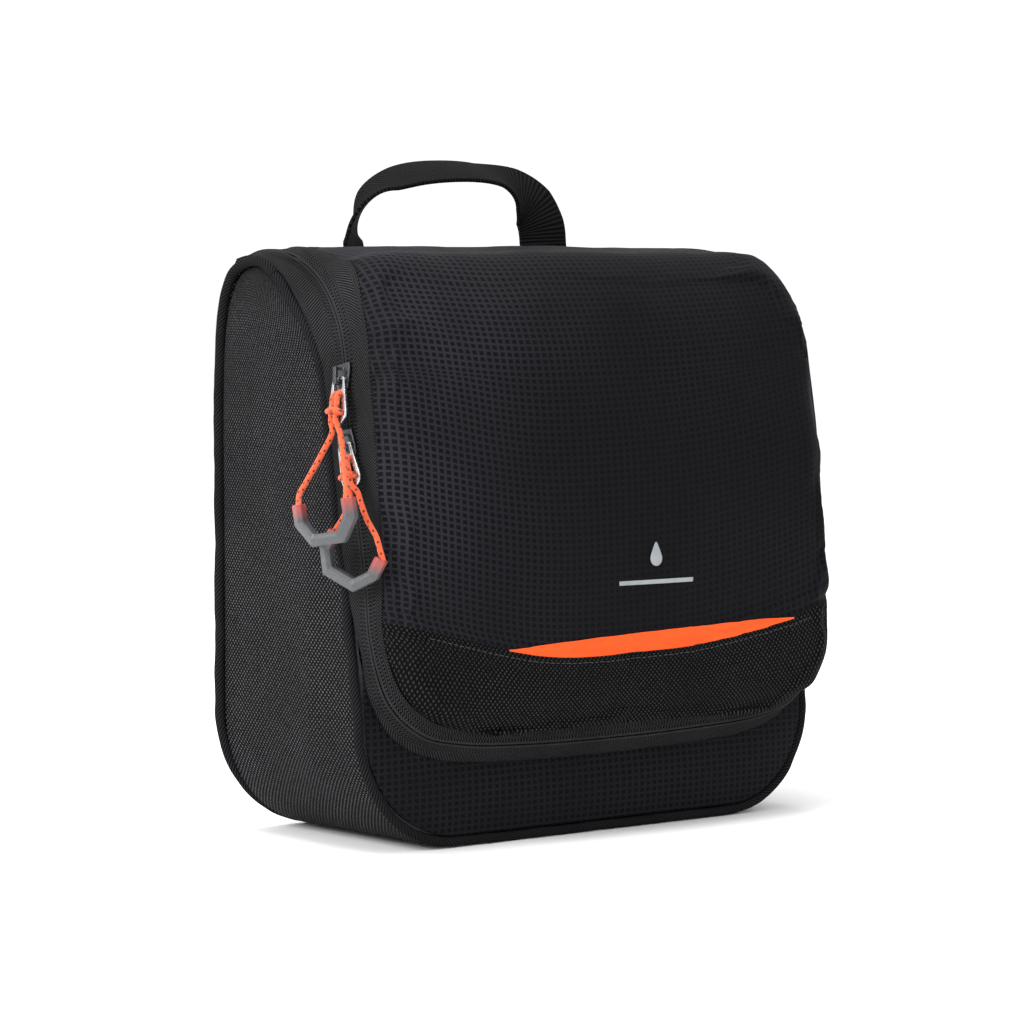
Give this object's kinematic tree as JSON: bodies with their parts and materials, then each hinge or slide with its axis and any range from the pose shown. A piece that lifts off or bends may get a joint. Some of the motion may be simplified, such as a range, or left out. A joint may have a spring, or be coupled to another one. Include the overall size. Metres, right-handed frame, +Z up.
{
  "type": "hanging toiletry bag",
  "caption": "Soft box-shaped toiletry bag with a padded zip-round flap, two corded zip pulls, a webbing carry handle and a stowed hanging hook.",
  "frame": {"origin": "on the flat underside of the bottom gusset, in line with the middle of the bag's width", "axes": "+X across the bag to its right side seen from the front, +Y from the front to the back, +Z up"},
  "size_m": [0.2699, 0.1441, 0.2813],
  "materials": {
    "heavy_weave": "matt coarse basket weave",
    "ripstop": "fine ripstop with a slight sheen",
    "twill": "matt twill tape",
    "lining": "plain light lining",
    "foam": "closed-cell padding",
    "board": "polyethylene stiffener board",
    "mesh": "open polyester mesh",
    "webbing": "ribbed woven webbing",
    "accent": "matt insert",
    "mark": "printed transfer",
    "coil": "nylon zip coil",
    "gunmetal": "dark nickel plate",
    "nickel": "bright nickel plate",
    "cord": "braided cord with dark flecks",
    "grip": "translucent moulded grip",
    "hook": "moulded acetal"
  },
  "bodies": {
    "bag": {"back_panel": "heavy_weave", "back_stiffener": "board", "back_lining": "lining", "side_gusset_left": "heavy_weave", "side_gusset_right": "heavy_weave", "side_lining_left": "lining", "side_lining_right": "lining", "bottom_gusset": "heavy_weave", "base_stiffener": "board", "base_lining": "lining", "lower_front_panel": "ripstop", "back_piping": "twill", "front_piping": "twill", "hinge_binding": "twill", "body_zip_tape": "twill", "body_zip_coil": "coil", "divider_pocket": "mesh", "divider_elastic": "twill", "handle_end_left": "webbing", "handle_end_right": "webbing"},
    "handle": {"carry_handle": "webbing"},
    "flap_top": {"flap_top_panel": "ripstop", "flap_top_foam": "foam", "flap_top_lining": "lining", "flap_top_zip_tape_left": "twill", "flap_top_zip_tape_right": "twill"},
    "flap_front": {"flap_upper_panel": "ripstop", "flap_lower_panel": "heavy_weave", "flap_accent": "accent", "flap_mark": "mark", "flap_foam": "foam", "flap_lining": "lining", "flap_zip_tape": "twill", "flap_zip_coil": "coil", "mesh_pocket": "mesh", "mesh_pocket_binding": "twill", "hook_loop": "webbing"},
    "hanging_hook": {"hook": "hook"},
    "upper_slider": {"upper_slider": "gunmetal"},
    "upper_pull": {"upper_pull_tab": "nickel", "upper_cord_knot": "cord", "upper_cord_left": "cord", "upper_cord_right": "cord", "upper_grip": "grip"},
    "lower_slider": {"lower_slider": "gunmetal"},
    "lower_pull": {"lower_pull_tab": "nickel", "lower_cord_knot": "cord", "lower_cord_left": "cord", "lower_cord_right": "cord", "lower_grip": "grip"}
  },
  "joints": [
    {"name": "flap_lift", "type": "hinge", "parent": "bag", "child": "flap_top", "pos_m": [0, 0.06, 0.239], "axis": [-1, 0, 0], "range_deg": [0, 45]},
    {"name": "flap_unfold", "type": "hinge", "parent": "flap_top", "child": "flap_front", "pos_m": [0, -0.0298, 0.2346], "axis": [-1, 0, 0], "range_deg": [0, 105]},
    {"name": "hook_fold", "type": "hinge", "parent": "flap_front", "child": "hanging_hook", "pos_m": [0, -0.029, 0.076], "axis": [-1, 0, 0], "range_deg": [0, 195]},
    {"name": "handle_fold", "type": "hinge", "parent": "bag", "child": "handle", "pos_m": [0, 0.0648, 0.2425], "axis": [-1, 0, 0], "range_deg": [0, 112]},
    {"name": "upper_slider_run", "type": "hinge", "parent": "bag", "child": "upper_slider", "pos_m": [-0.1201, 0.037, 0.1778], "axis": [-0.9874, 0, 0.1582], "range_deg": [0, 28]},
    {"name": "upper_tab_flip", "type": "hinge", "parent": "upper_slider", "child": "upper_pull", "pos_m": [-0.12176, -0.02507, 0.18992], "axis": [-0.0964, 0.9675, -0.2337], "range_deg": [0, 150]},
    {"name": "lower_slider_run", "type": "slide", "parent": "bag", "child": "lower_slider", "axis": [0, -0.1702, -0.9854], "range_m": [0, 0.052]},
    {"name": "lower_pull_swing", "type": "hinge", "parent": "lower_slider", "child": "lower_pull", "pos_m": [-0.1227, -0.02954, 0.1641], "axis": [1, 0, 0], "range_deg": [0, 8]}
  ]
}
